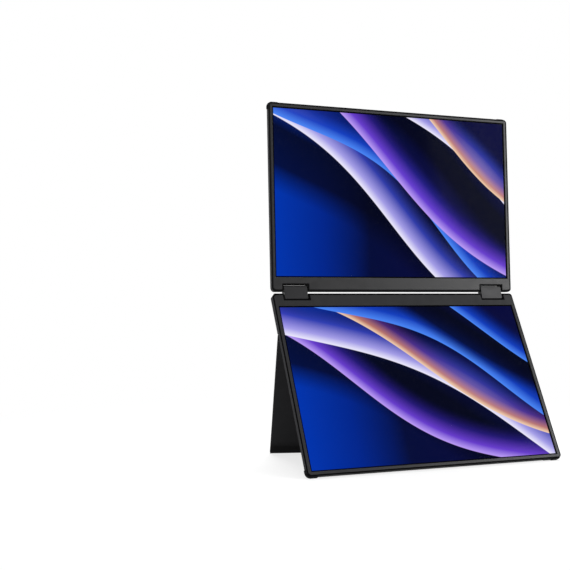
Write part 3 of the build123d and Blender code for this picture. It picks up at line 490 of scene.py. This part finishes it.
# Nickel-plated shells of the sockets: a darker, cleaner gleam.
plated_shell = metal("nickel_plated_shell", "#77777a", "#97979a",
                     roughness=0.28, line=0.3, across=(1, 4, 4))
# Blackened steel of the threaded insert: dark, with a dull gleam on the thread.
blackened_steel = metal("blackened_steel_insert", "#1b1b1c", "#2b2b2d", roughness=0.4, line=0.3)
# Cover glass with an anti-reflection coat, bonded to the film: it passes the picture, and the film gleams.
coated_glass = glass_finish("coated_cover_glass")

# Tints of the folds of light: place in the fold, colour, and how far it covers what is behind
LILAC = [
    (0.0, "#d9d4f5", 0.0),
    (0.015, "#ece9fd", 1.0),
    (0.2, "#a9a2ec", 0.95),
    (0.55, "#3a48c4", 0.7),
    (1.0, "#06103f", 0.0),
]
VIOLET = [
    (0.0, "#b48af0", 0.0),
    (0.015, "#b99af5", 1.0),
    (0.25, "#6a3fd0", 0.95),
    (0.6, "#2a1d84", 0.7),
    (1.0, "#050a30", 0.0),
]
AMBER = [
    (0.0, "#f6d9b8", 0.0),
    (0.02, "#f3cfae", 1.0),
    (0.18, "#c07a6a", 0.9),
    (0.5, "#5a2f86", 0.6),
    (1.0, "#080d38", 0.0),
]
BLUE = [
    (0.0, "#3f7cf0", 0.0),
    (0.015, "#4a86f5", 1.0),
    (0.3, "#1340c0", 0.95),
    (0.65, "#06207c", 0.7),
    (1.0, "#030b35", 0.0),
]
SHADE = [
    (0.0, "#02030c", 0.0),
    (0.25, "#020418", 0.9),
    (0.6, "#030618", 0.95),
    (1.0, "#040a2a", 0.0),
]
# Ground behind the folds, from left to right
DUSK = [(0.0, "#0034ac"), (0.3, "#00268c"), (0.62, "#030b38"), (1.0, "#06093a")]

# Lit film of a liquid-crystal panel: deep blues with pale folds of light, and a faint gleam at a slant.
# Each fold: start, swing, waves and phase of its line, and its depth, in picture heights; then its tints.
upper_picture = picture("lit_film_upper", math.radians(34), DUSK, [
    (0.45, 0.08, 2.6, 0.4, 0.60, SHADE),
    (0.70, 0.12, 2.3, 2.1, 0.26, LILAC),
    (0.86, 0.10, 2.9, 0.9, 0.20, BLUE),
    (0.98, 0.11, 2.2, 2.6, 0.22, VIOLET),
    (1.10, 0.09, 2.8, 1.2, 0.30, SHADE),
    (1.26, 0.10, 2.4, 0.3, 0.20, LILAC),
    (1.38, 0.08, 3.0, 1.7, 0.16, AMBER),
])
lower_picture = picture("lit_film_lower", math.radians(28), DUSK, [
    (0.40, 0.10, 2.2, 1.0, 0.55, SHADE),
    (0.62, 0.11, 2.7, 2.9, 0.22, VIOLET),
    (0.76, 0.12, 2.1, 0.5, 0.26, LILAC),
    (0.93, 0.09, 2.6, 1.9, 0.18, AMBER),
    (1.04, 0.10, 2.9, 0.2, 0.24, BLUE),
    (1.18, 0.09, 2.3, 2.2, 0.34, SHADE),
    (1.36, 0.10, 2.6, 1.1, 0.18, BLUE),
])

# Finishes of the solids, by the first of these words that a solid's name holds
finishes = {
    "upper_rear_cover": upper_cover_abs, "lower_rear_cover": shaded_lower_cover_abs,
    "upper_bezel": upper_bezel_abs, "lower_bezel": lower_bezel_abs,
    "cover_glass": coated_glass, "display_panel": border_black, "backplate": rolled_sheet,
    "screws": ground_steel, "leaf": ground_steel, "shaft": ground_steel,
    "bumper": rubber, "stand_foot": strip_rubber, "stand_plate": stand_metal,
    "hinge_block": hinge_paint, "hinge_cap": hinge_paint,
    "friction_plates": ground_steel, "pins": ground_steel, "idler": ground_steel,
    "board": board_lacquer, "button_switches": socket_black, "button": button_abs,
    "sound_socket": socket_black, "oval_socket": plated_shell, "video_socket": plated_shell,
    "stand_knuckles": hinge_paint, "tripod_insert": blackened_steel,
}
for name, solid in nodes.items():
    solid.data.materials.clear()
    solid.data.materials.append(next(finish for part, finish in finishes.items() if part in name))
    for radius in [radius for part, radius in SOFTENED.items() if part in name]:
        weld = solid.modifiers.new("weld", "WELD")
        weld.merge_threshold = SEAM_MERGE
        edge = solid.modifiers.new("edge", "BEVEL")
        edge.width, edge.segments = radius * MM, EDGE_STEPS
        edge.limit_method, edge.angle_limit = "ANGLE", SHARP_EDGE
        even = solid.modifiers.new("even", "WEIGHTED_NORMAL")
        even.keep_sharp = False

# Lit films behind the glass, with their borders under the bezels' lips: u runs right and v up as the viewer
# sees them, both in picture heights
active = np.array([ACTIVE_WIDTH, ACTIVE_HEIGHT])
film_loop, film_normals = rounded_loop(*(active + 2 * FILM_BORDER), FILM_CORNER)
film_profile = [(0, FILM_THICKNESS / 2 - GLASS_BACK), (0, -FILM_THICKNESS / 2 - GLASS_BACK)]
film = slab(film_loop, film_normals, film_profile)
film_uv = (film[..., :2] + active / 2) / ACTIVE_HEIGHT
film_points = film + np.array([0, ACTIVE_MARGIN + ACTIVE_HEIGHT / 2, 0])
turned_uv = active / ACTIVE_HEIGHT - film_uv
piece("upper_lit_film", placed(upper, film_points), "upper_unit", upper_picture, uv=film_uv)
piece("lower_lit_film", placed(lower, film_points), "lower_unit", lower_picture, uv=turned_uv)

# Painted shade: dark strips in the notches, which draw a black line round each hinge block where the gap
# lies in shadow
for unit, body in ((upper, "upper_unit"), (lower, "lower_unit")):
    for side, hand in ((-1, "left"), (1, "right")):
        for face, facing in ((1, "front"), (-1, "back")):
            painted_shade_strip = placed(unit, notch_shade_profile(side * unit[1][0][0], face))
            piece(f"{body}_{hand}_{facing}_lining", painted_shade_strip, body, notch_shade_black)

# Threaded insert in the lower back
sleeve = threaded_sleeve() + np.array([0, SOCKET_PLACE, -UNIT_THICKNESS])
insert = piece("threaded_insert", placed(lower, sleeve), "lower_unit", blackened_steel)
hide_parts("tripod_insert")

# Table and light, in metres: near the object the table keeps its shadow, and further off it goes over to
# plain white; it throws back less light than it shows, so that the faces turned down stay dark
TABLE_HALF = 20.0
NEAR_RADIUS, FAR_RADIUS = 0.2, 0.65
NEAR_WHITE = 0.74
PAPER_GRAIN = 0.002
WORLD_FILL = 0.42
scene.view_settings.view_transform = "Standard"


def seen_share(tree):
    """One for rays from the eye, a gloss or through glass, and nothing for those that light the object."""
    ray = node(tree, "LightPath").outputs
    direct = node(tree, "Math", {0: ray["Is Camera Ray"], 1: ray["Is Glossy Ray"]}, operation="MAXIMUM")
    either = node(tree, "Math", {0: direct.outputs[0], 1: ray["Is Transmission Ray"]}, operation="MAXIMUM")
    return either.outputs[0]


def paper_finish(name):
    """White paper: its grain near the object, going over to plain white with the distance from it."""
    material, tree, shader = surface(name)
    place = node(tree, "TexCoord").outputs["Object"]
    seen = seen_share(tree)
    grain = node(tree, "TexNoise", {"Vector": place, "Scale": 1 / PAPER_GRAIN})
    paper = node(tree, "ValToRGB", {0: grain.outputs[0]},
                 stops=[(0, linear("#f6f6f6")), (1, linear("#fafafa"))])
    sheet = node(tree, "Mix", {0: seen, 6: linear("#9c9c9c"), 7: paper.outputs[0]}, data_type="RGBA")
    tree.links.new(sheet.outputs[2], shader.inputs["Base Color"])
    shader.inputs["Roughness"].default_value = 0.8
    shader.inputs["Specular IOR Level"].default_value = 0.05
    far = node(tree, "VectorMath", {0: place}, operation="LENGTH")
    fade = node(tree, "MapRange", {"Value": far.outputs["Value"],
                                   "From Min": NEAR_RADIUS, "From Max": FAR_RADIUS,
                                   "To Min": NEAR_WHITE, "To Max": 1.0},
                interpolation_type="SMOOTHSTEP")
    share = node(tree, "Math", {0: seen, 1: fade.outputs[0]}, operation="MULTIPLY")
    white = node(tree, "Emission", {"Color": (1, 1, 1, 1), "Strength": 1.0})
    mixed = node(tree, "MixShader", {0: share.outputs[0], 1: shader.outputs[0], 2: white.outputs[0]})
    tree.links.new(mixed.outputs[0], tree.nodes["Material Output"].inputs["Surface"])
    return material


table_mesh = bpy.data.meshes.new("table")
corners = np.array([(-1, -1, 0), (1, -1, 0), (1, 1, 0), (-1, 1, 0)]) * TABLE_HALF
table_mesh.from_pydata(corners.tolist(), [], [(0, 1, 2, 3)])
table_mesh.materials.append(paper_finish("white_paper_table"))
table = bpy.data.objects.new("table", table_mesh)
scene.collection.objects.link(table)

scene.world = bpy.data.worlds.new("studio")
scene.world.use_nodes = True
sky = scene.world.node_tree
strength = node(sky, "MapRange", {"Value": seen_share(sky), "To Min": WORLD_FILL, "To Max": 1.0})
sky.links.new(strength.outputs[0], sky.nodes["Background"].inputs["Strength"])
sky.nodes["Background"].inputs["Color"].default_value = (1, 1, 1, 1)


def lamp(name, power, width, height, turn, lift, away):
    """A soft box at a turn from the front and a lift in degrees, at a distance, facing the middle."""
    middle = np.array([0, 0, 0.2])
    turn, lift = math.radians(turn), math.radians(lift)
    back = np.array([math.sin(turn) * math.cos(lift), -math.cos(turn) * math.cos(lift), math.sin(lift)])
    side = np.cross((0, 0, 1), back) / math.cos(lift)
    light = bpy.data.lights.new(name, "AREA")
    light.energy, light.shape, light.size, light.size_y = power, "RECTANGLE", width, height
    made = bpy.data.objects.new(name, light)
    made.location = middle + away * back
    made.rotation_euler = Matrix(np.array([side, np.cross(back, side), back]).T.tolist()).to_euler()
    scene.collection.objects.link(made)


lamp("key", power=34, width=1.2, height=1.3, turn=51, lift=12, away=1.9)
lamp("top", power=6, width=1.2, height=1.2, turn=-75, lift=62, away=2.0)
lamp("back", power=54, width=1.6, height=1.2, turn=165, lift=68, away=2.0)

# Camera, as the photograph's: place in mm, turns in degrees, lens and centre in pixels of the picture
CAMERA_PLACE = (-557.5, -1014.8, 201.5)
CAMERA_TURN = math.radians(22.26)
CAMERA_DIP = math.radians(1.73)
CAMERA_ROLL = math.radians(0.27)
FRAME_PIXELS = 570
FOCAL_PIXELS = 1004.4
CENTRE_PIXELS = (292, 312)
SENSOR = 36
NEAR_CLIP, FAR_CLIP = 0.05, 50

lens = bpy.data.cameras.new("camera")
lens.sensor_width = SENSOR
lens.lens = FOCAL_PIXELS / FRAME_PIXELS * SENSOR
lens.shift_x = (FRAME_PIXELS / 2 - CENTRE_PIXELS[0]) / FRAME_PIXELS
lens.shift_y = (CENTRE_PIXELS[1] - FRAME_PIXELS / 2) / FRAME_PIXELS
lens.clip_start, lens.clip_end = NEAR_CLIP, FAR_CLIP
camera = bpy.data.objects.new("camera", lens)
level_ahead = np.array([math.sin(CAMERA_TURN), math.cos(CAMERA_TURN), 0])
ahead = math.cos(CAMERA_DIP) * level_ahead - math.sin(CAMERA_DIP) * np.array([0, 0, 1])
right = np.array([math.cos(CAMERA_TURN), -math.sin(CAMERA_TURN), 0])
up = np.cross(right, ahead)
rolled_right = math.cos(CAMERA_ROLL) * right + math.sin(CAMERA_ROLL) * up
rolled_up = math.cos(CAMERA_ROLL) * up - math.sin(CAMERA_ROLL) * right
camera.location = np.array(CAMERA_PLACE) * MM
camera.rotation_euler = Matrix(np.array([rolled_right, rolled_up, -ahead]).T.tolist()).to_euler()
scene.collection.objects.link(camera)
scene.camera = camera
